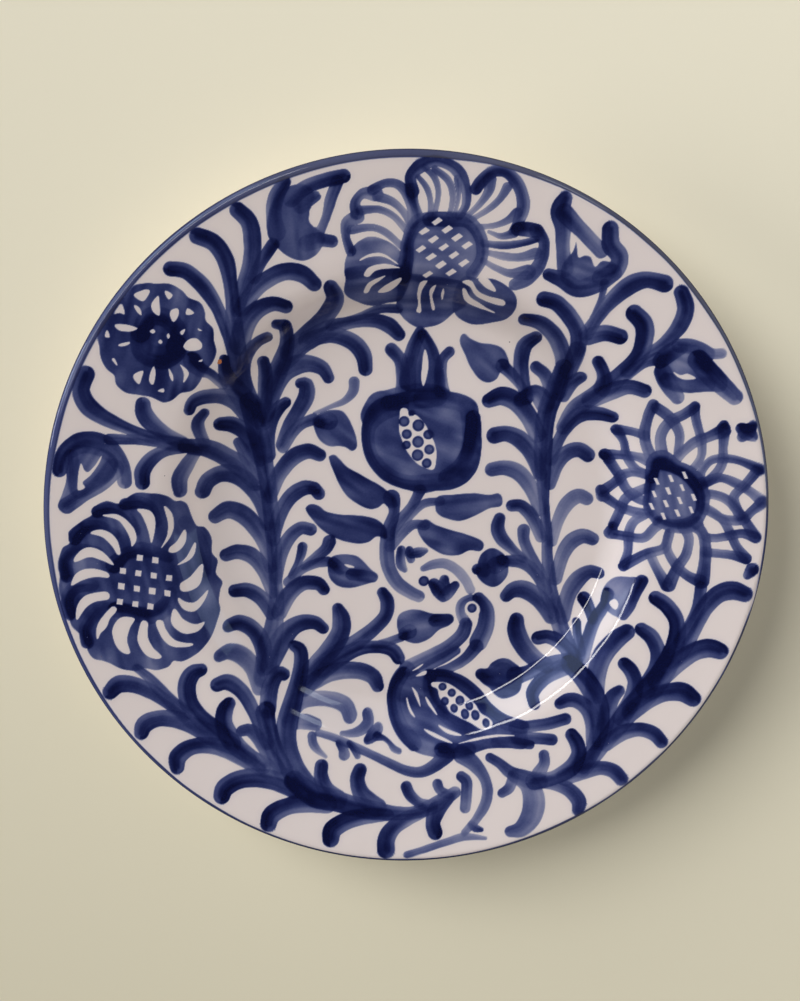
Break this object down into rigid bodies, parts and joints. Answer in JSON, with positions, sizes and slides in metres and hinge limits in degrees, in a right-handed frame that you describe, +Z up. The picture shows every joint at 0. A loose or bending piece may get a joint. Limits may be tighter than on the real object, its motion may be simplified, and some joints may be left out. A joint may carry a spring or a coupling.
{
  "type": "painted ceramic plate",
  "caption": "Round ceramic wall or serving plate with a deep well, wide raised flange and foot ring, tin glazed and hand painted in cobalt blue with a pomegranate, a bird, flowers and leaves.",
  "frame": {"origin": "on the plate's axis, in the plane the foot ring stands on", "axes": "+Z up along the plate's axis, +Y towards the large top flower, +X towards the star flower at the right"},
  "size_m": [0.3, 0.3, 0.0345],
  "materials": {
    "bare_clay": "matte fired earthenware, bare on the foot ring",
    "white_tin_glaze": "high gloss, opaque warm white",
    "banded_glaze": "high gloss, uneven blue-grey band brushed round the lip",
    "cobalt_blue": "high gloss, cobalt brushed under the glaze, darker where it pools"
  },
  "bodies": {
    "root": {"clay_body": "bare_clay", "face_glaze": "white_tin_glaze", "back_glaze": "white_tin_glaze", "foot_recess_glaze": "white_tin_glaze", "lip_band": "banded_glaze", "top_flower": "cobalt_blue", "upper_left_flower": "cobalt_blue", "left_flower": "cobalt_blue", "right_flower": "cobalt_blue", "upper_left_tulip": "cobalt_blue", "left_tulip": "cobalt_blue", "upper_right_tulip": "cobalt_blue", "right_tulip": "cobalt_blue", "upper_left_spray": "cobalt_blue", "inner_left_spray": "cobalt_blue", "left_mid_spray": "cobalt_blue", "left_frond": "cobalt_blue", "right_frond": "cobalt_blue", "upper_right_spray": "cobalt_blue", "pomegranate": "cobalt_blue", "pomegranate_seeds": "cobalt_blue", "pomegranate_branch": "cobalt_blue", "pomegranate_side_leaf": "cobalt_blue", "upper_leaf_bud": "cobalt_blue", "lower_leaf_bud": "cobalt_blue", "ball_bud": "cobalt_blue", "lower_centre_bud": "cobalt_blue", "lower_right_bud": "cobalt_blue", "lower_right_tulip": "cobalt_blue", "lower_right_leaf": "cobalt_blue", "lower_left_garland": "cobalt_blue", "lower_centre_spray": "cobalt_blue", "bottom_garland": "cobalt_blue", "right_garland": "cobalt_blue", "bird": "cobalt_blue", "bird_eye": "cobalt_blue", "bird_wing_dots": "cobalt_blue", "bird_crest": "cobalt_blue", "bird_legs": "cobalt_blue", "filler_sprigs": "cobalt_blue", "rim_blossoms": "cobalt_blue"}
  },
  "joints": []
}
